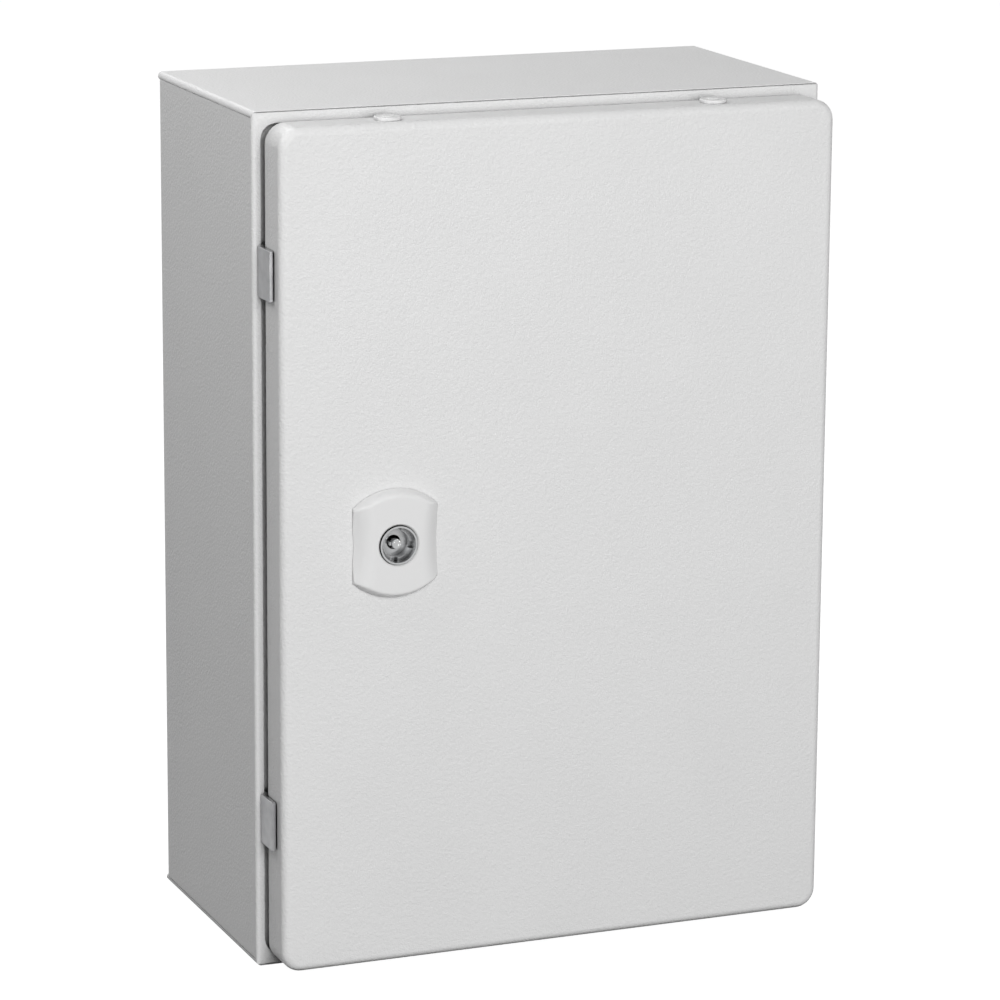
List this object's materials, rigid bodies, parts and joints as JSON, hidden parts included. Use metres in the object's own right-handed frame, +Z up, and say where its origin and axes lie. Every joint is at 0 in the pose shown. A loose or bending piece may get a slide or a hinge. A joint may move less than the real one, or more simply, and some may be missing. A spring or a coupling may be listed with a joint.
{
  "type": "steel wall enclosure",
  "caption": "Compact steel wall enclosure with a concealed-hinge door, quarter-turn lock, foam seal, rain channel, mounting plate and gland plate.",
  "frame": {"origin": "centre of the overall box at the level of the base, halfway between the wall face and the front of the lock", "axes": "+Z up along the height, +Y towards the wall, -Y towards the user, +X to the right seen from the front, hinge side at +X"},
  "size_m": [0.35, 0.2074, 0.5],
  "materials": {
    "powder_coat": "light grey textured polyester powder coat",
    "zinc_plate": "bright zinc-plated steel",
    "galvanised_sheet": "galvanised steel sheet",
    "chrome_plate": "polished chrome on zinc casting",
    "foam_seal": "foamed polyurethane seal",
    "flat_seal": "flat rubber seal"
  },
  "bodies": {
    "enclosure": {"body_shell": "powder_coat", "top_panel": "powder_coat", "bottom_panel": "powder_coat", "rain_channel": "powder_coat", "latch_keeper": "zinc_plate", "hinge_bracket_upper": "zinc_plate", "hinge_bracket_lower": "zinc_plate", "hinge_screws": "zinc_plate", "door_guide_upper": "zinc_plate", "door_guide_lower": "zinc_plate", "plate_studs": "zinc_plate", "plate_spacers": "zinc_plate", "mounting_plate": "galvanised_sheet", "plate_washers": "zinc_plate", "plate_nuts": "zinc_plate", "gland_gasket": "flat_seal", "gland_plate": "powder_coat", "gland_studs": "zinc_plate", "gland_washers": "zinc_plate", "gland_nuts": "zinc_plate", "body_earth_stud": "zinc_plate", "body_earth_washer": "zinc_plate", "body_earth_nut": "zinc_plate"},
    "door": {"door_shell": "powder_coat", "door_gasket": "foam_seal", "door_plug_left": "powder_coat", "door_plug_right": "powder_coat", "hinge_leaf_upper": "zinc_plate", "hinge_leaf_lower": "zinc_plate", "hinge_pin_upper": "zinc_plate", "hinge_pin_lower": "zinc_plate", "door_earth_stud": "zinc_plate", "door_earth_washer": "zinc_plate", "door_earth_nut": "zinc_plate", "lock_cover": "powder_coat", "lock_seal": "flat_seal", "lock_housing": "chrome_plate", "lock_nut": "zinc_plate"},
    "latch": {"lock_spindle": "chrome_plate", "latch_cam": "zinc_plate", "cam_washer": "zinc_plate", "cam_screw": "zinc_plate"}
  },
  "joints": [
    {"name": "door_hinge", "type": "hinge", "parent": "enclosure", "child": "door", "pos_m": [0.1645, -0.08735, 0.25], "axis": [0, 0, 1], "range_deg": [0, 120]},
    {"name": "lock_turn", "type": "hinge", "parent": "door", "child": "latch", "pos_m": [-0.101, -0.09635, 0.254], "axis": [0, 1, 0], "range_deg": [0, 90]}
  ]
}
